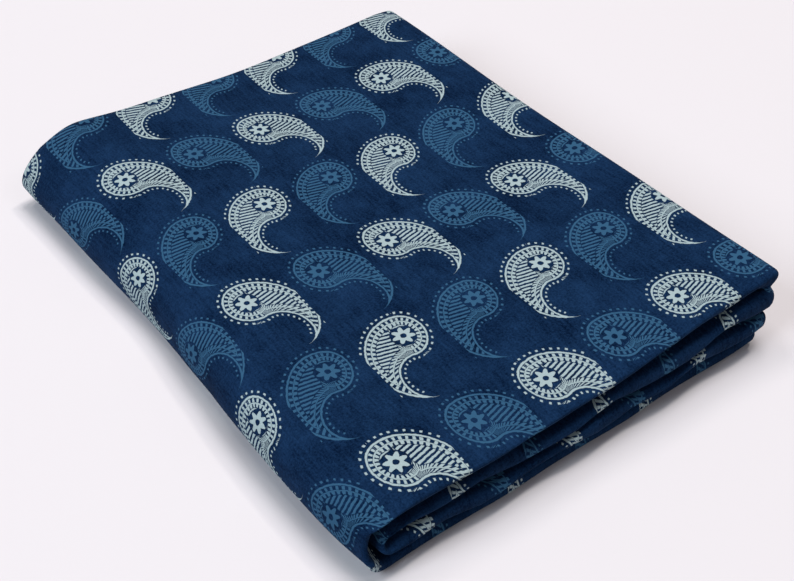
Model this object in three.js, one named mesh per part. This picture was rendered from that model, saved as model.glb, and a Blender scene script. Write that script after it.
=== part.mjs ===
// A length of block-printed cotton, folded flat for the shelf.
//
// The real piece is one cut, 1.12 m wide and about 3 m long. Its length is folded in half three times,
// into a strip as long as the cloth is wide. The strip is then folded in half twice, which leaves four
// strip layers: the outermost one wraps round the left edge of the pile, the top two are joined by a
// fold at the right edge, and every layer shows one rounded fold along the front edge.
//
// Here each ply of the solid is as thick as two plies of the cotton with the air between them, so the
// length is folded in half twice and not three times. Everything else has its real size.
//
// Millimetres. +X runs along the front edge, +Y from front to back, +Z up. The origin is under the
// middle of the pile, on the surface that it lies on.
import * as THREE from "three";

// The pile
const PILE_WIDTH = 280; // along X: a quarter of the cloth's width
const PILE_DEPTH = 362; // along Y: an eighth of the cloth's length
const LENGTH_HALVINGS = 2; // folds of the length that make the strip
const WIDTH_HALVINGS = 2; // folds of the strip that make the pile

// The plies
const PLY_THICKNESS = 1.8;
const PLY_PITCH = 2.5; // from one ply of a strip to the next
const STRIP_PITCH = 10.4; // from one strip layer to the next
const PLIES = 2 ** LENGTH_HALVINGS;
const LAYERS = 2 ** WIDTH_HALVINGS;
const STRIP_HALF = ((PLIES - 1) * PLY_PITCH + PLY_THICKNESS) / 2;
const PILE_HEIGHT = (LAYERS - 1) * STRIP_PITCH + 2 * STRIP_HALF;

// How far a rounded side stands out, as a share of a half circle's
const LEFT_BULGE = 0.8;
const RIGHT_BULGE = 0.75;

const LEFT_REACH = LEFT_BULGE * (PILE_HEIGHT / 2);
const RIGHT_REACH = RIGHT_BULGE * (STRIP_PITCH / 2 + STRIP_HALF);
const FRONT_REACH = 6.5;
const BACK_REACH = PLY_PITCH / 2 + PLY_THICKNESS / 2;
const WIDTH_RUN = PILE_WIDTH - LEFT_REACH - RIGHT_REACH; // the flat part of a strip layer
const DEPTH_RUN = PILE_DEPTH - FRONT_REACH - BACK_REACH; // the flat part of a ply

// Steps of the mesh on a flat run, and round the folds, the first of which is the outermost
const DEPTH_STEPS = { flat: 8, turns: [8, 4, 4] };
const WIDTH_STEPS = { flat: 8, turns: [10, 8, 6] };

// The front fold of each strip layer, from the top layer down. It stands back by left, middle and
// right along its length, with a slow wave. Its bulge is its roundness as a share of a half circle's,
// and its lean is how far its top overhangs.
const FRONT_FOLDS = [
  { left: 1.2, middle: 3.2, right: 8.5, wave: 0.5, phase: 0.4, bulge: 1, lean: 2.2 },
  { left: 3, middle: 2, right: 5, wave: 0.7, phase: 2.1, bulge: 1.25, lean: -1.2 },
  { left: -0.8, middle: 0.4, right: 3.6, wave: 0.8, phase: 4.4, bulge: 1.25, lean: -0.6 },
  { left: 1, middle: 3.4, right: 6.4, wave: 0.5, phase: 5.5, bulge: 1.15, lean: 0 },
];
const FRONT_WAVES = 2.4; // slow waves along the front edge
const CORNER_REACH = 4.5; // how far the top layer comes forward again at its right corner
const FRONT_TURN = ((PLIES - 1) / 2) * PLY_PITCH; // the radius of a strip's outermost front fold
const FRONT_FLAT = 0.12; // how flat that fold is pressed
const FRONT_PRESS = 0.26; // how much thinner a strip is at its front fold
const CORNER_PRESS = 0.16; // and how much more where it turns at the left
const EDGE_REACH = 30; // how fast the shape of an edge dies out towards the middle
const LEAN_REACH = 12;

// The layers rise and fall along the front: a wave along it, that turns from layer to layer
const RIPPLE = { waves: 2.7, turn: 2.1, phase: 1.5, height: 1.5, reach: 50 };

// Where the slack cloth sinks, by place over the pile and share of the height. It rises where the
// share is under zero: at the front right corner, where the layers fan open, and at the back corners.
const SINKS = [
  { x: 0.08, y: 1, wide: 0.1, deep: 0.07, share: -0.08 },
  { x: 0.55, y: 1, wide: 0.3, deep: 0.2, share: 0.03 },
  { x: 0.2, y: 0, wide: 0.34, deep: 0.14, share: 0.06 },
  { x: 0.52, y: 0.55, wide: 0.3, deep: 0.34, share: 0.05 },
  { x: 1, y: 0, wide: 0.35, deep: 0.36, share: -0.145 },
  { x: 0.95, y: 0.97, wide: 0.17, deep: 0.25, share: -0.06 },
];

// The outermost fold sags down the left side, by a share of its height that grows towards the back.
// It starts to fall a little in from the turn.
const LEFT_SAG = { front: 0.1, back: 0.29, start: 24 };

// Long soft waves of the top, in waves over the pile each way
const SWELLS = [
  { x: 1.6, y: 0.9, phase: 0.6, height: 0.5 },
  { x: -0.8, y: 2.1, phase: 2.2, height: 0.45 },
  { x: 2.7, y: 1.7, phase: 4, height: 0.3 },
];

// Bumps and hollows down the left side, by place along Y
const LEFT_DENTS = [
  { y: 1, wide: 0.1, out: 2.2 },
  { y: 0.57, wide: 0.15, out: -5 },
  { y: 0.39, wide: 0.035, out: -0.6 },
  { y: 0.2, wide: 0.12, out: 1.4 },
  { y: 0, wide: 0.05, out: -1.2 },
];

const RIGHT_OPENING = 3; // how far the fold at the right end lifts the top layers
const END_RECESS = 5.5; // how far the cut ends lie behind the fold above them
const RIGHT_PINCH = 5; // how far that fold is drawn in between its two layers
const FRONT_SAG = 0.3; // share of its height by which the bottom strip's front fold sags
const FRONT_CORNER_ROUND = 5.5; // how far the front and back edges draw in at the right corners
const BACK_CORNER_ROUND = 6;
const EDGE_DROOP = 1.2; // how far the top falls towards the front fold
const DROOP_REACH = 16;

const smooth = (t) => {
  const s = THREE.MathUtils.clamp(t, 0, 1);
  return s * s * (3 - 2 * s);
};
const bell = (t) => Math.exp(-t * t);

// The place in the stack of each run of a length folded in half again and again, from the top: the
// half that is turned under comes out at the mirrored place.
function stackOrder(halvings) {
  let order = [1];
  for (let i = 0; i < halvings; i++) {
    const last = 2 * order.length + 1;
    order = order.flatMap((place, run) =>
      run % 2 ? [last - place, place] : [place, last - place],
    );
  }
  return order;
}

// Points down the middle of a length that goes back and forth through those places. The first run
// starts at the far end. Each point has its place, and its unit normal, to the left of the way.
function backAndForth(order, pitch, run, steps) {
  const middle = (order.length + 1) / 2;
  const heights = order.map((place) => (middle - place) * pitch);
  const points = [];
  heights.forEach((up, i) => {
    const homeward = i % 2 === 0;
    for (let s = 0; s <= steps.flat; s++) {
      const share = (1 - Math.cos((Math.PI * s) / steps.flat)) / 2;
      points.push({
        along: run * (homeward ? 1 - share : share),
        up,
        normal: [0, homeward ? -1 : 1],
      });
    }
    if (i === heights.length - 1) return;
    const next = heights[i + 1];
    const radius = Math.abs(next - up) / 2;
    const end = homeward ? 0 : run;
    const outward = homeward ? -1 : 1;
    const upward = Math.sign(up - next);
    const turn = steps.turns[Math.min(i, steps.turns.length - 1)];
    for (let s = 1; s < turn; s++) {
      const angle = (Math.PI * s) / turn;
      const out = [outward * Math.sin(angle), upward * Math.cos(angle)];
      const side = homeward ? -upward : upward;
      points.push({
        along: end + radius * out[0],
        up: (up + next) / 2 + radius * out[1],
        normal: [side * out[0], side * out[1]],
      });
    }
  });
  return points;
}

// The neat pile's shape settled into the slack one of the real cloth. It is a smooth warp of space,
// so layers that lie apart stay apart.
function settle(p) {
  const x = p.x / WIDTH_RUN;
  const y = p.y / DEPTH_RUN;
  const level = p.z / PILE_HEIGHT;
  const layer = LAYERS - 0.5 - (p.z - STRIP_HALF) / STRIP_PITCH;
  const inward = Math.max(p.y, 0);
  const nearFront = Math.exp(-inward / EDGE_REACH);
  const nearLean = Math.exp(-inward / LEAN_REACH);

  // Each front fold keeps its own place along the pile, and runs smoothly into the next at the turns.
  const leftTurn = 1 - smooth(p.x / 20);
  const rightTurn = 1 - smooth((WIDTH_RUN - p.x) / 15);
  const turning = 1 - (1 - leftTurn) * (1 - rightTurn);
  const soft = 0.1 + 0.5 * turning;
  let weight = 0;
  let back = 0;
  let bulge = 0;
  FRONT_FOLDS.forEach((fold, i) => {
    const above = i + 0.5 - layer;
    const share = smooth((0.5 + soft - Math.abs(above)) / (2 * soft)) + 1e-6;
    const bow = fold.middle * 4 * x * (1 - x) + (fold.left * (1 - x) - fold.right * x) * (1 - 2 * x);
    const corner = i === 0 ? CORNER_REACH * bell((x - 1.06) / 0.09) : 0;
    const wave = fold.wave * Math.sin(2 * Math.PI * FRONT_WAVES * x + fold.phase) - corner;
    const high = THREE.MathUtils.clamp((above * STRIP_PITCH) / STRIP_HALF, -1, 1);
    weight += share;
    bulge += share * fold.bulge;
    back += share * ((bow + wave) * nearFront - fold.lean * high * nearLean * (1 - 0.7 * rightTurn));
  });
  const out = Math.max(-p.y, 0) / FRONT_TURN;
  const nose = FRONT_TURN * (out - FRONT_FLAT * out ** 3);
  const unrounded = inward - (bulge / weight) * nose + back / weight;

  // Near the front each strip is pressed thinner, towards its own middle, most where it turns at the
  // left and not at all where it turns at the right. The underside stays flat on the table.
  const fromX = p.x - THREE.MathUtils.clamp(p.x, 0, WIDTH_RUN);
  const fromZ = p.z - PILE_HEIGHT / 2 - (p.x > WIDTH_RUN ? STRIP_PITCH : 0);
  const radius = Math.hypot(fromX, fromZ);
  const ring = (radius > STRIP_PITCH && p.x <= WIDTH_RUN ? 1.5 : 0.5) * STRIP_PITCH;
  const thinner = FRONT_PRESS * (1 - rightTurn) + CORNER_PRESS * leftTurn;
  const press = (thinner * nearLean * smooth(4 * level) * (radius - ring)) / radius;
  const px = p.x - press * fromX;
  const pz = p.z - press * fromZ;

  // The left side is slightly flat and dented, and the cut ends lie back under the fold at the right.
  const nearLeft = Math.exp(-Math.max(px, 0) / EDGE_REACH);
  const dent = LEFT_DENTS.reduce((sum, d) => sum + d.out * bell((y - d.y) / d.wide), 0);
  const leftward = LEFT_BULGE * Math.min(px, 0);
  const rightward = RIGHT_BULGE * Math.max(px - WIDTH_RUN, 0);
  const between = THREE.MathUtils.clamp(px, 0, WIDTH_RUN);
  const under = END_RECESS * smooth((0.7 - level) / 0.6) * smooth((x - 0.4) / 0.6);
  const pinch = RIGHT_PINCH * bell((layer - 1) / 0.3) * smooth((x - 0.9) / 0.12);
  const recess = under + pinch * (0.3 + 0.7 * nearFront);

  // Both corners at the right are rounded.
  const pastRight = Math.max(px - WIDTH_RUN, 0) / (STRIP_PITCH / 2 + STRIP_HALF);
  const backCorner = smooth((x - 0.95) / 0.12) * bell((y - 1) / 0.06);
  const frontCorner = Math.min(pastRight, 1) ** 2 * nearLean;
  const front = unrounded + FRONT_CORNER_ROUND * frontCorner - BACK_CORNER_ROUND * backCorner;

  // The top lifts at that fold, the front edge droops and the slack places sink.
  const nearRight = Math.exp(-Math.max(WIDTH_RUN - px, 0) / EDGE_REACH);
  const lift = RIGHT_OPENING * nearRight * smooth((level - 0.5) / 0.3);
  const droop = EDGE_DROOP * level ** 2 * Math.exp(-Math.max(front + FRONT_REACH, 0) / DROOP_REACH);
  const sink = SINKS.reduce(
    (sum, s) => sum + s.share * bell((x - s.x) / s.wide) * bell((y - s.y) / s.deep),
    0,
  );
  const sagShare = LEFT_SAG.front + (LEFT_SAG.back - LEFT_SAG.front) * smooth(y);
  const sag = sagShare * smooth((LEFT_SAG.start - px) / (LEFT_SAG.start + PILE_HEIGHT / 2));
  const frontSag = FRONT_SAG * smooth((layer - 2.9) / 0.6) * smooth(out);
  const swell = SWELLS.reduce(
    (sum, s) => sum + s.height * Math.sin(2 * Math.PI * (s.x * x + s.y * y) + s.phase),
    0,
  );
  const ripple =
    RIPPLE.height *
    Math.sin(2 * Math.PI * RIPPLE.waves * x + RIPPLE.turn * layer + RIPPLE.phase) *
    4 * level * (1 - level) * Math.exp(-inward / RIPPLE.reach);
  return new THREE.Vector3(
    between + leftward + rightward - dent * nearLeft * smooth(2 * level) - recess,
    front,
    (pz + lift + swell * level + ripple) * (1 - sink - sag - frontSag) - droop,
  );
}

// The flat cut, a thin box, folded point by point: its length into the strip, and the strip into the
// pile.
function foldedCloth() {
  const length = backAndForth(stackOrder(LENGTH_HALVINGS), PLY_PITCH, DEPTH_RUN, DEPTH_STEPS);
  const mirrored = stackOrder(WIDTH_HALVINGS).map((place) => LAYERS + 1 - place);
  const width = backAndForth(mirrored, STRIP_PITCH, WIDTH_RUN, WIDTH_STEPS);
  const columns = width.length - 1;
  const rows = length.length - 1;
  const cloth = new THREE.BoxGeometry(1, 1, PLY_THICKNESS, columns, rows, 1);
  const points = cloth.getAttribute("position");
  const point = new THREE.Vector3();
  for (let i = 0; i < points.count; i++) {
    point.fromBufferAttribute(points, i);
    const row = length[Math.round((point.y + 0.5) * rows)];
    const column = width[Math.round((point.x + 0.5) * columns)];
    const across = row.along + point.z * row.normal[0];
    const off = row.up + point.z * row.normal[1];
    point.set(
      column.along + off * column.normal[0],
      across,
      PILE_HEIGHT / 2 + column.up + off * column.normal[1],
    );
    point.copy(settle(point));
    points.setXYZ(i, point.x, point.y, point.z);
  }
  cloth.computeVertexNormals();
  return cloth;
}

// The pile is set down with the middle of its base at the origin.
function centred(geometry) {
  geometry.computeBoundingBox();
  const { min, max } = geometry.boundingBox;
  return geometry.translate(-(min.x + max.x) / 2, -(min.y + max.y) / 2, -min.z);
}

const printedCotton = new THREE.MeshStandardMaterial({
  color: 0x17305a,
  roughness: 0.9,
  metalness: 0,
});

const cloth = new THREE.Mesh(centred(foldedCloth()), printedCotton);
cloth.name = "folded_cloth";

const pile = new THREE.Group();
pile.add(cloth);

export default pile;
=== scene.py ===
import math
import bpy
import numpy as np
from mathutils import Matrix, Vector


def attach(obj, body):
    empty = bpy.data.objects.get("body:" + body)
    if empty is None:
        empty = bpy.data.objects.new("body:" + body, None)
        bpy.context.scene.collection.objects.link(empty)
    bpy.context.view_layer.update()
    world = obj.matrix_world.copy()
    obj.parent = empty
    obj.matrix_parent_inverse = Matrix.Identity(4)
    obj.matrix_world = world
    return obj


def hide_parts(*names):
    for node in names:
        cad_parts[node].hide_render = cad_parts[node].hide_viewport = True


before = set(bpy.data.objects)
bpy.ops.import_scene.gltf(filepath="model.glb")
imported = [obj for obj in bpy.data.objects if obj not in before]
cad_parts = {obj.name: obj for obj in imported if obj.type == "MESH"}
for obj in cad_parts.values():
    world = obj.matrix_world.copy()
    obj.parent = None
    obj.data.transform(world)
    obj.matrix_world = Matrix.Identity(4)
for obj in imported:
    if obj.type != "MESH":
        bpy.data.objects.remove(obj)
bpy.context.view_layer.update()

bpy.ops.object.select_all(action="DESELECT")


# Floor
# A plain white board with a faint cool cast, wide enough that its edge never shows. It is scenery that
# the cloth lies on, not part of it.

FLOOR_SIDE = 12
BOARD_WHITE = (0.76, 0.720, 0.737, 1)


class Value:
    """A number in a material's nodes, so that sums with it are written as Python."""

    def __init__(self, finish, socket):
        self.finish = finish
        self.socket = socket

    def math(self, operation, *others):
        numbers = dict(enumerate((self, *others)))
        return self.finish.node("ShaderNodeMath", {"operation": operation}, numbers)

    def __add__(self, other):
        return self.math("ADD", other)

    __radd__ = __add__

    def __sub__(self, other):
        return self.math("SUBTRACT", other)

    def __rsub__(self, other):
        return -self + other

    def __mul__(self, other):
        return self.math("MULTIPLY", other)

    __rmul__ = __mul__

    def __truediv__(self, other):
        return self.math("DIVIDE", other)

    def __neg__(self):
        return self.math("MULTIPLY", -1)

    def __abs__(self):
        return self.math("ABSOLUTE")

    def least(self, other):
        return self.math("MINIMUM", other)

    def most(self, other):
        return self.math("MAXIMUM", other)

    def floor(self):
        return self.math("FLOOR")

    def fraction(self):
        return self.math("FRACT")

    def sine(self):
        return self.math("SINE")

    def root(self):
        return self.math("SQRT")

    def angle_to(self, other):
        """The angle of a point this far up and other along."""
        return self.math("ARCTAN2", other)

    def inside(self, edge, soft):
        """1 where the number is under edge and 0 over it, with a soft step."""
        return self.finish.node(
            "ShaderNodeMapRange",
            {"interpolation_type": "SMOOTHSTEP"},
            {"Value": self, "From Min": edge - soft, "From Max": edge + soft, "To Min": 1, "To Max": 0},
            "Result",
        )


class Finish:
    """A material and its nodes, with one method that adds any node."""

    def __init__(self, name):
        self.material = bpy.data.materials.new(name)
        self.material.use_nodes = True
        self.tree = self.material.node_tree
        self.shader = self.tree.nodes["Principled BSDF"]

    def feed(self, place, value):
        """Links a value to a socket, or sets the socket to a plain number, colour or vector."""
        if isinstance(value, Value):
            self.tree.links.new(value.socket, place)
        else:
            place.default_value = value

    def node(self, kind, settings, sockets, output=0):
        """Adds a node: first its settings, then the values of its sockets."""
        made = self.tree.nodes.new(kind)
        for name, value in settings.items():
            setattr(made, name, value)
        for name, value in sockets.items():
            self.feed(made.inputs[name], value)
        return Value(self, made.outputs[output])

    def mix(self, share, first, second):
        """A colour between first and second."""
        return self.node("ShaderNodeMix", {"data_type": "RGBA"}, {0: share, 6: first, 7: second}, 2)

    def noise(self, place, scale, detail=2, roughness=0.5, output=0):
        """A cloudy number or, from the second output, a cloudy colour."""
        sockets = {"Vector": place, "Scale": scale, "Detail": detail, "Roughness": roughness}
        return self.node("ShaderNodeTexNoise", {}, sockets, output)

    def vector(self, operation, first, second):
        """Vector Math on two vectors, or on a vector and a scale."""
        second_place = "Scale" if operation == "SCALE" else 1
        return self.node("ShaderNodeVectorMath", {"operation": operation}, {0: first, second_place: second})


bpy.ops.mesh.primitive_grid_add(x_subdivisions=2, y_subdivisions=2, size=FLOOR_SIDE, location=(0, 0, 0))
floor = bpy.context.active_object
floor.name = "floor"

board = Finish("pale_board")
board.shader.inputs["Base Color"].default_value = BOARD_WHITE
board.shader.inputs["Roughness"].default_value = 0.8
floor.data.materials.append(board.material)


# Folded cloth
# One cut of light plain-woven cotton, 1.12 m wide and about 2.9 m long. Its length is folded in half
# three times into a strip, and the strip in half twice. The outermost strip wraps round the left side
# and nothing holds the pile but its own weight.

PILE_WIDTH = 0.280
PILE_DEPTH = 0.362

COTTON_THICKNESS = 0.00045
PLIES = 8
LAYERS = 4
PLY_PITCH = 0.0012
PLY_SLACK = 0.0003
STRIP_PITCH = 0.0104
STRIP_HALF = ((PLIES - 1) * PLY_PITCH + COTTON_THICKNESS) / 2 + PLY_SLACK
PILE_HEIGHT = (LAYERS - 1) * STRIP_PITCH + 2 * STRIP_HALF

FRONT_REACH = 0.0065
BACK_REACH = 0.0022
LEFT_BULGE = 0.8
RIGHT_BULGE = 0.75
RIGHT_TURN = STRIP_PITCH / 2 + STRIP_HALF
WIDTH_RUN = PILE_WIDTH - LEFT_BULGE * PILE_HEIGHT / 2 - RIGHT_BULGE * RIGHT_TURN
DEPTH_RUN = PILE_DEPTH - FRONT_REACH - BACK_REACH

# A run with more steps than this has them evenly spaced. Others have them closer towards the turns.
LONG_RUN_STEPS = 60


def stack_order(halvings):
    """The place from the top of each run of a length that is folded in half again and again."""
    order = [1]
    for _ in range(halvings):
        last = 2 * len(order) + 1
        order = [
            place
            for run, first in enumerate(order)
            for place in ((last - first, first) if run % 2 else (first, last - first))
        ]
    return order


def back_and_forth(order, pitch, run, outside, run_steps, turn_steps):
    """Points along a length that goes back and forth through the places in order.

    Gives for each point its place along and up, its normal, how much cloth lies before it, and the
    number of its run. outside is how far the outermost ply of the length lies from its middle.
    """
    heights = [((len(order) + 1) / 2 - place) * pitch for place in order]
    rows = []
    cloth = 0.0
    for i, up in enumerate(heights):
        homeward = i % 2 == 0
        steps = run_steps[i]
        for s in range(steps + 1):
            even = steps > LONG_RUN_STEPS
            share = s / steps if even else (1 - math.cos(math.pi * s / steps)) / 2
            along = run * (1 - share if homeward else share)
            rows.append((along, up, 0.0, -1.0 if homeward else 1.0, cloth + share * run, i))
        cloth += run
        if i == len(heights) - 1:
            break
        below = heights[i + 1]
        radius = abs(below - up) / 2
        end = 0.0 if homeward else run
        outward = -1 if homeward else 1
        upward = math.copysign(1, up - below)
        side = -upward if homeward else upward
        bend = math.pi * (radius + outside)
        for s in range(1, turn_steps[i]):
            angle = math.pi * s / turn_steps[i]
            out = (outward * math.sin(angle), upward * math.cos(angle))
            rows.append((
                end + radius * out[0],
                (up + below) / 2 + radius * out[1],
                side * out[0],
                side * out[1],
                cloth + bend * s / turn_steps[i],
                i + 0.5,
            ))
        cloth += bend
    return np.array(rows)


def smooth(t):
    """A soft step from 0 to 1 while t goes from 0 to 1."""
    t = np.clip(t, 0, 1)
    return t * t * (3 - 2 * t)


def bell(t):
    return np.exp(-t * t)


def fading(distance, reach):
    """1 up to a place, and less with the distance past it."""
    return np.exp(-np.maximum(distance, 0) / reach)


def waves(count, phase):
    return np.sin(2 * math.pi * count + phase)


# The front fold of each strip layer, from the top layer down. It stands back by left, middle and
# right along its length, with a slow wave. bulge is its roundness, and lean how far its top overhangs.
FRONT_FOLDS = [
    dict(
        left=0.0012, middle=0.0032, right=0.0085, bulge=1.0, lean=0.0022,
        wave=0.0006, waves=2.7, phase=0.4,
    ),
    dict(
        left=0.0030, middle=0.0020, right=0.0050, bulge=1.25, lean=-0.0012,
        wave=0.0008, waves=3.4, phase=2.1,
    ),
    dict(
        left=-0.0008, middle=0.0004, right=0.0036, bulge=1.25, lean=-0.0006,
        wave=0.0009, waves=4.3, phase=4.4,
    ),
    dict(
        left=0.0010, middle=0.0034, right=0.0064, bulge=1.15, lean=0.0,
        wave=0.0006, waves=3.1, phase=5.5,
    ),
]

# From one front fold to the next there is a step, softer where they turn into each other at the sides.
STEP_SOFT = 0.1
TURN_SOFT = 0.5
LEFT_TURN_RUN = 0.020
RIGHT_TURN_RUN = 0.015
RIGHT_LEAN_LOST = 0.7

# The top layer's right corner reaches forward.
TOP_CORNER = dict(x=1.06, wide=0.09, reach=0.0045)

# A front fold's nose is flattened, and the strips are pressed thinner behind it.
NOSE_LENGTH = (PLIES - 1) / 2 * PLY_PITCH
NOSE_FLAT = 0.2
FRONT_PRESS = 0.26
LEFT_CORNER_PRESS = 0.28
EDGE_REACH = 0.030
LEAN_REACH = 0.012

# The layers rise and fall a little along the front, by waves along it and from layer to layer.
RIPPLES = [
    dict(waves=2.7, turn=2.1, phase=1.5, height=0.0015),
    dict(waves=6.1, turn=3.3, phase=0.4, height=0.0008),
]
RIPPLE_REACH = 0.05

# Where the slack cloth sinks, by place over the pile and share of the height. It rises where the share
# is under zero: at the front right corner, where the layers fan open, and at the back corners.
SINKS = [
    dict(x=0.08, y=1.0, wide=0.1, deep=0.07, share=-0.08),
    dict(x=0.55, y=1.0, wide=0.3, deep=0.2, share=0.03),
    dict(x=0.2, y=0.0, wide=0.34, deep=0.14, share=0.06),
    dict(x=0.52, y=0.55, wide=0.3, deep=0.34, share=0.05),
    dict(x=1.0, y=0.0, wide=0.35, deep=0.36, share=-0.145),
    dict(x=0.95, y=0.97, wide=0.17, deep=0.25, share=-0.06),
]

# The outermost fold sags down the left side, by a share of its height that grows towards the back. It
# starts to fall a little in from the turn. The bottom strip's front fold sags too.
LEFT_SAG = dict(front=0.1, back=0.29, start=0.024)
FRONT_SAG = dict(share=0.3, layer=2.9, fade=0.6)

# The top rises and falls in slow swells, and the left side is dented in and out along the pile.
SWELLS = [
    dict(x=1.6, y=0.9, phase=0.6, height=0.0005),
    dict(x=-0.8, y=2.1, phase=2.2, height=0.00045),
    dict(x=2.7, y=1.7, phase=4.0, height=0.0003),
]
LEFT_DENTS = [
    dict(y=1.0, wide=0.1, out=0.0022),
    dict(y=0.57, wide=0.15, out=-0.005),
    dict(y=0.39, wide=0.035, out=-0.0006),
    dict(y=0.2, wide=0.12, out=0.0014),
    dict(y=0.0, wide=0.05, out=-0.0012),
]

# At the right end the fold lifts the top layers, the cut ends lie back under it, and the cloth between
# them is pinched in. The corners there are rounded, and the top droops over the front edge.
RIGHT_OPENING = dict(lift=0.003, level=0.5, fade=0.3)
END_RECESS = dict(depth=0.0055, top=0.7, fade=0.6, start=0.4, run=0.6)
RIGHT_PINCH = dict(depth=0.005, layer=1, thick=0.3, start=0.9, run=0.12, back=0.3)
FRONT_CORNER_ROUND = 0.0055
BACK_CORNER = dict(round=0.006, start=0.95, run=0.12, y=1, deep=0.06)
EDGE_DROOP = 0.0012
DROOP_REACH = 0.016


def front_edge(px, py, layer, near_front, near_lean):
    """How far back each point lies once every front fold has its own place and roundness."""
    x = px / WIDTH_RUN
    left_turn = 1 - smooth(px / LEFT_TURN_RUN)
    right_turn = 1 - smooth((WIDTH_RUN - px) / RIGHT_TURN_RUN)
    turning = 1 - (1 - left_turn) * (1 - right_turn)
    soft = STEP_SOFT + TURN_SOFT * turning
    lean_kept = near_lean * (1 - RIGHT_LEAN_LOST * right_turn)
    weight = 0
    back = 0
    bulge = 0
    for i, fold in enumerate(FRONT_FOLDS):
        above = i + 0.5 - layer
        share = smooth((0.5 + soft - abs(above)) / (2 * soft)) + 1e-6
        ends = fold["left"] * (1 - x) - fold["right"] * x
        bow = fold["middle"] * 4 * x * (1 - x) + ends * (1 - 2 * x)
        wave = fold["wave"] * waves(fold["waves"] * x, fold["phase"])
        if i == 0:
            wave = wave - TOP_CORNER["reach"] * bell((x - TOP_CORNER["x"]) / TOP_CORNER["wide"])
        high = np.clip(above * STRIP_PITCH / STRIP_HALF, -1, 1)
        weight = weight + share
        bulge = bulge + share * fold["bulge"]
        back = back + share * ((bow + wave) * near_front - fold["lean"] * high * lean_kept)
    out = np.maximum(-py, 0) / NOSE_LENGTH
    nose = NOSE_LENGTH * (out - NOSE_FLAT * out ** 3)
    return np.maximum(py, 0) - bulge / weight * nose + back / weight, out, left_turn, right_turn


def settle(px, py, pz):
    """The neat pile's points moved to where the slack cloth lies."""
    x = px / WIDTH_RUN
    y = py / DEPTH_RUN
    level = pz / PILE_HEIGHT
    layer = LAYERS - 0.5 - (pz - STRIP_HALF) / STRIP_PITCH
    near_front = fading(py, EDGE_REACH)
    near_lean = fading(py, LEAN_REACH)

    # Each front fold keeps its own place along the pile, and runs smoothly into the next at the turns.
    front, out, left_turn, right_turn = front_edge(px, py, layer, near_front, near_lean)

    # Near the front each strip is pressed thinner, towards its own middle, most where it turns at the
    # left and not at all where it turns at the right. The underside stays flat on the table.
    middle = PILE_HEIGHT / 2 + np.where(px > WIDTH_RUN, STRIP_PITCH, 0)
    from_x = px - np.clip(px, 0, WIDTH_RUN)
    from_z = pz - middle
    radius = np.hypot(from_x, from_z)
    ring = np.where((radius > STRIP_PITCH) & (px <= WIDTH_RUN), 1.5, 0.5) * STRIP_PITCH
    thinner = FRONT_PRESS * (1 - right_turn) + LEFT_CORNER_PRESS * left_turn
    press = thinner * near_lean * smooth(4 * level) * (radius - ring) / radius
    px = px - press * from_x
    pz = pz - press * from_z

    # The left side is slightly flat and dented, and the cut ends lie back under the fold at the right.
    dent = sum(d["out"] * bell((y - d["y"]) / d["wide"]) for d in LEFT_DENTS)
    dent = dent * fading(px, EDGE_REACH) * smooth(2 * level)
    sideways = np.where(px < 0, LEFT_BULGE * px, px)
    sideways = np.where(px > WIDTH_RUN, WIDTH_RUN + RIGHT_BULGE * (px - WIDTH_RUN), sideways)
    under = smooth((END_RECESS["top"] - level) / END_RECESS["fade"])
    recess = END_RECESS["depth"] * under * smooth((x - END_RECESS["start"]) / END_RECESS["run"])
    pinch = RIGHT_PINCH["depth"] * bell((layer - RIGHT_PINCH["layer"]) / RIGHT_PINCH["thick"])
    pinch = pinch * smooth((x - RIGHT_PINCH["start"]) / RIGHT_PINCH["run"])
    recess = recess + pinch * (RIGHT_PINCH["back"] + (1 - RIGHT_PINCH["back"]) * near_front)

    # The top lifts at that fold, the front edge droops, and the slack places sink.
    lift = RIGHT_OPENING["lift"] * fading(WIDTH_RUN - px, EDGE_REACH)
    lift = lift * smooth((level - RIGHT_OPENING["level"]) / RIGHT_OPENING["fade"])
    droop = EDGE_DROOP * level ** 2 * fading(front + FRONT_REACH, DROOP_REACH)
    sink = sum(s["share"] * bell((x - s["x"]) / s["wide"]) * bell((y - s["y"]) / s["deep"]) for s in SINKS)
    sag = LEFT_SAG["front"] + (LEFT_SAG["back"] - LEFT_SAG["front"]) * smooth(y)
    sink = sink + sag * smooth((LEFT_SAG["start"] - px) / (LEFT_SAG["start"] + PILE_HEIGHT / 2))
    low_strip = smooth((layer - FRONT_SAG["layer"]) / FRONT_SAG["fade"])
    sink = sink + FRONT_SAG["share"] * low_strip * smooth(out)

    # Both corners at the right are rounded.
    past_right = np.clip((px - WIDTH_RUN) / RIGHT_TURN, 0, 1)
    back_corner = smooth((x - BACK_CORNER["start"]) / BACK_CORNER["run"])
    back_corner = back_corner * bell((y - BACK_CORNER["y"]) / BACK_CORNER["deep"])
    front = front - BACK_CORNER["round"] * back_corner
    front = front + FRONT_CORNER_ROUND * past_right ** 2 * near_lean

    swell = sum(s["height"] * waves(s["x"] * x + s["y"] * y, s["phase"]) for s in SWELLS)
    ripple = sum(r["height"] * waves(r["waves"] * x, r["turn"] * layer + r["phase"]) for r in RIPPLES)
    ripple = ripple * 4 * level * (1 - level) * fading(py, RIPPLE_REACH)
    return (
        sideways - dent - recess,
        front,
        (pz + lift + swell * level + ripple) * (1 - sink) - droop,
    )


def folded_points(length, width):
    """The points of the cut after both foldings, as three arrays over length rows and width columns."""
    depth = np.repeat(length[:, :1], len(width), axis=1)
    off = length[:, 1][:, None]
    px = width[:, 0][None, :] + off * width[:, 2][None, :]
    pz = PILE_HEIGHT / 2 + width[:, 1][None, :] + off * width[:, 3][None, :]
    return settle(px, depth, pz)


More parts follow.
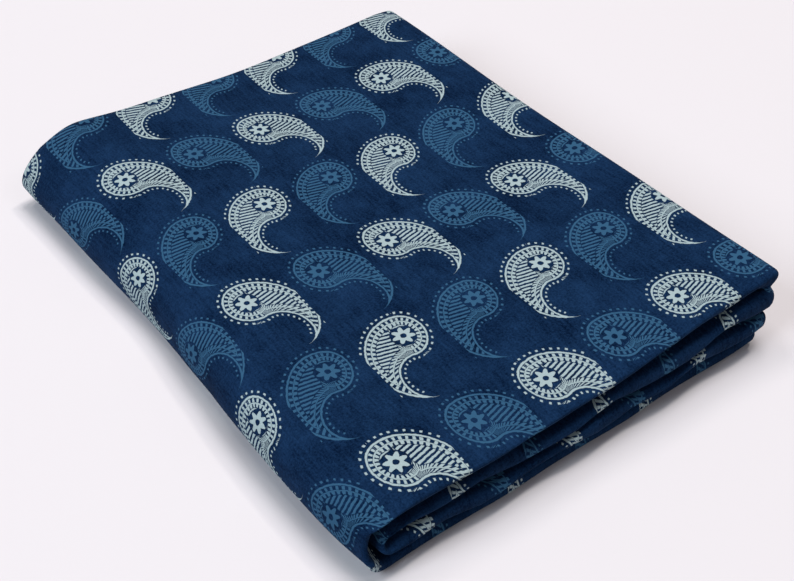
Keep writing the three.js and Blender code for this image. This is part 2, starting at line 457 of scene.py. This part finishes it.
# Steps of the mesh along each run, and round each turn. The plies that show have the most.
LENGTH_STEPS = dict(runs=[92] + 7 * [9], turns=[14] + 6 * [6])
WIDTH_STEPS = dict(runs=[30, 84, 30, 30], turns=[22, 12, 10])

length_path = back_and_forth(
    stack_order(3), PLY_PITCH, DEPTH_RUN, 0, LENGTH_STEPS["runs"], LENGTH_STEPS["turns"])
width_order = [LAYERS + 1 - place for place in stack_order(2)]
width_path = back_and_forth(
    width_order, STRIP_PITCH, WIDTH_RUN, STRIP_HALF, WIDTH_STEPS["runs"], WIDTH_STEPS["turns"])
rows, columns = len(length_path), len(width_path)

bpy.ops.mesh.primitive_grid_add(x_subdivisions=columns - 1, y_subdivisions=rows - 1, size=2)
cloth = bpy.context.active_object
cloth.name = "folded_cloth_sheet"
grid = np.zeros(len(cloth.data.vertices) * 3)
cloth.data.vertices.foreach_get("co", grid)
grid = grid.reshape(-1, 3)
column = np.rint((grid[:, 0] + 1) / 2 * (columns - 1)).astype(int)
row = np.rint((grid[:, 1] + 1) / 2 * (rows - 1)).astype(int)

FLOOR_GAP = 0.0005
fx, fy, fz = folded_points(length_path, width_path)
middle_x = PILE_WIDTH / 2 - LEFT_BULGE * PILE_HEIGHT / 2
middle_y = PILE_DEPTH / 2 - FRONT_REACH
points = np.stack([
    fx[row, column] - middle_x,
    fy[row, column] - middle_y,
    fz[row, column] + FLOOR_GAP,
], axis=1)
cloth.data.vertices.foreach_set("co", points.ravel())

corner = np.zeros(len(cloth.data.loops), dtype=np.int32)
cloth.data.loops.foreach_get("vertex_index", corner)
flat_place = np.stack([width_path[column, 4], length_path[row, 4]], axis=1)
while cloth.data.uv_layers:
    cloth.data.uv_layers.remove(cloth.data.uv_layers[0])
print_map = cloth.data.uv_layers.new(name="flat_cut")
print_map.data.foreach_set("uv", flat_place[corner].ravel())


# A second map, for one picture of the whole cloth, gives the most room to the plies that show.
WIDTH_ROOM = {0: 0.3, 0.5: 1.0, 1: 1.0, 1.5: 0.6, 2: 0.3, 2.5: 0.3, 3: 0.3}
LENGTH_ROOM = {0: 1.0, 0.5: 1.5, 1: 0.08, 1.5: 0.3, 2: 0.05, 2.5: 0.3, 3: 0.05}
OTHER_RUN_ROOM = 0.05
OTHER_TURN_ROOM = 0.3
RIGHT_SIDE_ROOM = 0.92
WRONG_SIDE_ROOM = 0.05
WRONG_SIDE_START = RIGHT_SIDE_ROOM + 0.01
EDGE_START = 0.984
EDGE_SQUARE = 0.004
EDGE_ROWS = 4


def room_of(run, room):
    return room.get(run, OTHER_RUN_ROOM if run % 1 == 0 else OTHER_TURN_ROOM)


def shared_out(path, room):
    """Each point's place from 0 to 1 along a path whose runs have more or less room."""
    runs = np.maximum(path[1:, 5], path[:-1, 5])
    steps = np.diff(path[:, 4]) * np.array([room_of(run, room) for run in runs])
    return np.concatenate([[0], np.cumsum(steps)]) / steps.sum()


picture_map = cloth.data.uv_layers.new(name="OFBake")
picture_place = np.stack([
    shared_out(width_path, WIDTH_ROOM)[column],
    shared_out(length_path, LENGTH_ROOM)[row] * RIGHT_SIDE_ROOM,
], axis=1)
picture_map.data.foreach_set("uv", picture_place[corner].ravel())
print_map.active_render = True
cloth.data.update()
right_side_faces = len(cloth.data.polygons)

bpy.ops.object.shade_smooth()
body_of_yarn = cloth.modifiers.new("cotton", "SOLIDIFY")
body_of_yarn.thickness = COTTON_THICKNESS
body_of_yarn.offset = 0
bpy.ops.object.modifier_apply(modifier="cotton")

# In that map the cloth's wrong side has a band of its own, and its cut edge four rows of small squares.
picture_map = cloth.data.uv_layers["OFBake"]
places = np.zeros(len(cloth.data.loops) * 2)
picture_map.data.foreach_get("uv", places)
places = places.reshape(-1, 2)
wrong_side = slice(4 * right_side_faces, 8 * right_side_faces)
places[wrong_side, 1] = WRONG_SIDE_START + places[wrong_side, 1] / RIGHT_SIDE_ROOM * WRONG_SIDE_ROOM
edge_faces = len(cloth.data.polygons) - 2 * right_side_faces
edge_row = math.ceil(edge_faces / EDGE_ROWS)
edge_place = np.arange(edge_faces)
edge_x = (edge_place % edge_row)[:, None] + np.array([0.1, 0.9, 0.9, 0.1])[None, :]
edge_y = (edge_place // edge_row)[:, None] + np.array([0.1, 0.1, 0.9, 0.9])[None, :]
places[8 * right_side_faces:, 0] = (edge_x / edge_row).ravel()
places[8 * right_side_faces:, 1] = EDGE_START + EDGE_SQUARE * edge_y.ravel()
picture_map.data.foreach_set("uv", places.ravel())


# The indigo dye is darker and lighter in places, and the ink is cream or blue.
INDIGO = (0.00903, 0.0333, 0.0912, 1)
DEEP_INDIGO = (0.00038, 0.0057, 0.0228, 1)
CREAM = (0.418, 0.518, 0.522, 1)
MID_BLUE = (0.0342, 0.106, 0.195, 1)
PALE_BLUE = (0.228, 0.361, 0.427, 1)

# The block's sizes are in millimetres of the flat cut.
MOTIF_ACROSS = 46.0
MOTIF_ALONG = 67.0
MOTIF_UNIT = 15.4
MOTIF_SLIM = 0.80
MOTIF_TILT = math.radians(14)
PRINT_ALONG = 20.0
RIM = dict(outer=0, inner=1.1)
SECOND_RIM = dict(outer=3.6, inner=4.3)
HATCH = dict(outer=1.4, inner=3.4)
SCALLOP = dict(outer=4.3, inner=6.2)
CORE_DEPTH = 6.6
CORE_LINE_PITCH = 2.6
FLOWER_RADIUS = 5.0
FLOWER_EYE = 1.7
PETALS = 7
PETAL_DEPTH = 1.3
CLEARING_RADIUS = 7.2
DOT_NEAR = 1.6
DOT_FAR = 2.8
LARGE_DISC_MARKS = 24
SMALL_DISC_MARKS = 12
BLOCK_JITTER = 1.1

cotton = Finish("block_printed_cotton")
flat = cotton.node("ShaderNodeUVMap", {"uv_map": "flat_cut"}, {})
millimetres = cotton.vector("SCALE", flat, 1000.0)

# The hand block prints a slightly uneven edge.
jitter = cotton.noise(millimetres, scale=0.45, detail=3.0, output=1)
jitter = cotton.vector("SUBTRACT", jitter, (0.5, 0.5, 0.5))
printed_at = cotton.vector("ADD", millimetres, cotton.vector("SCALE", jitter, BLOCK_JITTER))
across = cotton.node("ShaderNodeSeparateXYZ", {}, {0: printed_at}, "X")
along = cotton.node("ShaderNodeSeparateXYZ", {}, {0: printed_at}, "Y") + PRINT_ALONG

# Each printed motif has its own square of cloth, and every other row is the mirrored block.
place_across = (across / MOTIF_ACROSS).floor()
place_along = (along / MOTIF_ALONG).floor()
odd_row = (place_along * 0.5).fraction() * 2
odd_square = ((place_across + place_along) * 0.5).fraction() * 2
square_x = across - (place_across + 0.5) * MOTIF_ACROSS
square_y = along - (place_along + 0.5) * MOTIF_ALONG
mirrored_x = square_x * (1 - odd_row * 2)
turned_x = mirrored_x * math.cos(MOTIF_TILT) + square_y * math.sin(MOTIF_TILT)
turned_y = square_y * math.cos(MOTIF_TILT) - mirrored_x * math.sin(MOTIF_TILT)

# The motif is a curled leaf: half of a large disc, with a small disc added below and one cut above.
leaf_x = turned_x / (MOTIF_UNIT * MOTIF_SLIM)
leaf_y = turned_y / MOTIF_UNIT


def from_point(x, y):
    return (x * x + y * y).root()


large = from_point(leaf_x, leaf_y) - 2
low = from_point(leaf_x, leaf_y + 1) - 1
high = from_point(leaf_x, leaf_y - 1) - 1
edge = large.most(leaf_x).least(low).most(-high) * (MOTIF_UNIT * 0.9)


def band(outer, inner, soft=0.18):
    """1 between two depths inside the motif's edge, in millimetres."""
    return edge.inside(-outer, soft) * (1 - edge.inside(-inner, soft))


# Round the edge run evenly spaced marks, counted by angle about each disc.
turn_large = leaf_y.angle_to(-leaf_x)
turn_low = (leaf_y + 1).angle_to(leaf_x)
turn_high = (leaf_y - 1).angle_to(-leaf_x)
in_high = high.inside(0, 0.01)
in_low = (-leaf_x).inside(0, 0.01) * leaf_y.inside(0, 0.01)
count = turn_large * (LARGE_DISC_MARKS / math.pi)
count = count * (1 - in_low) + turn_low * (SMALL_DISC_MARKS / math.pi) * in_low
count = count * (1 - in_high) + turn_high * (SMALL_DISC_MARKS / math.pi) * in_high
mark = abs(count.fraction() - 0.5) * 2

# Two rims with hatching between them, a scalloped row of arcs, and a core of fine lines.
hatch = band(**HATCH) * mark.inside(0.45, 0.12)
arcs = (mark * 2 - (edge + SCALLOP["inner"]) * 0.2).inside(1.0, 0.2)
scallop = band(**SCALLOP) * arcs
core = edge.inside(-CORE_DEPTH, 0.2)
core_lines = core * (turned_y / CORE_LINE_PITCH).fraction().inside(0.5, 0.08)

# A small flower sits clear of the lines in the motif's head, and a row of dots runs outside its edge.
head = from_point(turned_x, turned_y + MOTIF_UNIT)
head_turn = (turned_y + MOTIF_UNIT).angle_to(turned_x)
petals = (head_turn * PETALS).sine() * PETAL_DEPTH
flower = (head - petals).inside(FLOWER_RADIUS, 0.2) * (1 - head.inside(FLOWER_EYE, 0.15))
inner = (core_lines * (1 - head.inside(CLEARING_RADIUS, 0.2))).most(flower * core)
dots = edge.inside(DOT_FAR, 0.2) * (1 - edge.inside(DOT_NEAR, 0.2))
dots = dots * mark.inside(0.34, 0.12) * leaf_y.inside(1.7, 0.03)
ink = band(**RIM).most(band(**SECOND_RIM)).most(hatch).most(scallop).most(inner).most(dots)

# The dye is mottled in clouds, in short streaks along the threads and in fine specks, and the printed
# places are a little uneven.
cloud = cotton.noise(millimetres, scale=0.03, detail=6.0, roughness=0.7)
along_threads = cotton.vector("MULTIPLY", millimetres, (0.5, 0.07, 1))
streak = cotton.noise(along_threads, scale=1.0, detail=3.0, roughness=0.6)
speck = cotton.noise(millimetres, scale=0.8, detail=4.0, roughness=0.8)
depth = (cloud * 1.8 + streak + speck * 2.4 - 2.1).most(0).least(1)
ground = cotton.mix(depth, DEEP_INDIGO, INDIGO)
light_ink = cotton.mix(speck.inside(0.46, 0.1) * 0.3, CREAM, PALE_BLUE)
ink_colour = cotton.mix(odd_square, light_ink, MID_BLUE)
colour = cotton.mix(ink * (1.0 - 0.2 * speck), ground, ink_colour)
cotton.feed(cotton.shader.inputs["Base Color"], colour)
cotton.shader.inputs["Roughness"].default_value = 0.92
cotton.shader.inputs["Specular IOR Level"].default_value = 0.03
cotton.shader.inputs["Sheen Weight"].default_value = 0.03
cotton.shader.inputs["Sheen Roughness"].default_value = 0.4
cotton.shader.inputs["Sheen Tint"].default_value = (0.6, 0.8, 1.0, 1)

# The plain weave is fine and even, with a few thicker threads.
THREAD_PITCH = 0.55
warp = (across * (2 * math.pi / THREAD_PITCH)).sine()
weft = (along * (2 * math.pi / THREAD_PITCH)).sine()
slub = cotton.noise(millimetres, scale=1.2)
weave = cotton.node(
    "ShaderNodeBump", {}, {"Strength": 0.25, "Distance": 0.0002, "Height": warp * weft * 0.5 + slub})
cotton.feed(cotton.shader.inputs["Normal"], weave)

cloth.data.materials.append(cotton.material)
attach(cloth, "root")
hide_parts("folded_cloth")


# Light
# Five soft lamps and a pale sky: a wide softbox overhead and a little to the right, a window behind, a
# small warm window at the right, a broad cool light from the left and a weak one high in front.

LAMPS = [
    dict(
        name="softbox", place=(1.2, 0.4, 4.8), wide=1.7, high=1.7,
        power=127, colour=(1.0, 0.97, 0.975),
    ),
    dict(
        name="window", place=(-0.3, 2.1, 4.5), wide=1.3, high=1.3,
        power=44, colour=(1.0, 0.96, 0.93),
    ),
    dict(
        name="right_window", place=(2.3, 0.1, 4.4), wide=0.4, high=0.4,
        power=38, colour=(1.0, 0.95, 0.86),
    ),
    dict(
        name="left_sky", place=(-3.6, 0.2, 2.8), wide=2.2, high=2.2,
        power=116, colour=(0.79, 0.90, 1.0),
    ),
    dict(
        name="front_sky", place=(1.4, -3.0, 3.8), wide=1.6, high=1.2,
        power=14, colour=(0.97, 0.95, 1.0),
    ),
]
SKY_COLOUR = (0.94, 0.94, 1.0, 1)
SKY_STRENGTH = 0.14

for lamp in LAMPS:
    bpy.ops.object.light_add(type="AREA", location=lamp["place"])
    made = bpy.context.active_object
    made.name = lamp["name"]
    made.data.shape = "RECTANGLE"
    made.data.size = lamp["wide"]
    made.data.size_y = lamp["high"]
    made.data.energy = lamp["power"]
    made.data.color = lamp["colour"]
    made.rotation_euler = (-made.location).to_track_quat("-Z", "Y").to_euler()

sky = bpy.data.worlds.new("sky")
bpy.context.scene.world = sky
sky.use_nodes = True
background = sky.node_tree.nodes["Background"]
background.inputs["Color"].default_value = SKY_COLOUR
background.inputs["Strength"].default_value = SKY_STRENGTH

bpy.context.scene.view_settings.view_transform = "Standard"


# Camera
# It stands in front of the pile to the left and looks down at the front corner.

IMAGE_WIDTH = 794
FOCAL_PIXELS = 1321.5
SENSOR_WIDTH = 36
STAND = (-0.3448, -0.4808, 0.5000)
ELEVATION = math.radians(41.18)
AZIMUTH = math.radians(-36.54)
ROLL = math.radians(0.41)

look = Vector((
    -math.sin(AZIMUTH) * math.cos(ELEVATION),
    math.cos(AZIMUTH) * math.cos(ELEVATION),
    -math.sin(ELEVATION),
))
bpy.ops.object.camera_add(location=STAND)
camera = bpy.context.active_object
camera.rotation_mode = "QUATERNION"
facing = look.to_track_quat("-Z", "Y")
camera.rotation_quaternion = facing @ Matrix.Rotation(ROLL, 3, "Z").to_quaternion()
camera.data.sensor_width = SENSOR_WIDTH
camera.data.lens = SENSOR_WIDTH * FOCAL_PIXELS / IMAGE_WIDTH
camera.data.clip_start = 0.01
camera.data.clip_end = 50
bpy.context.scene.camera = camera
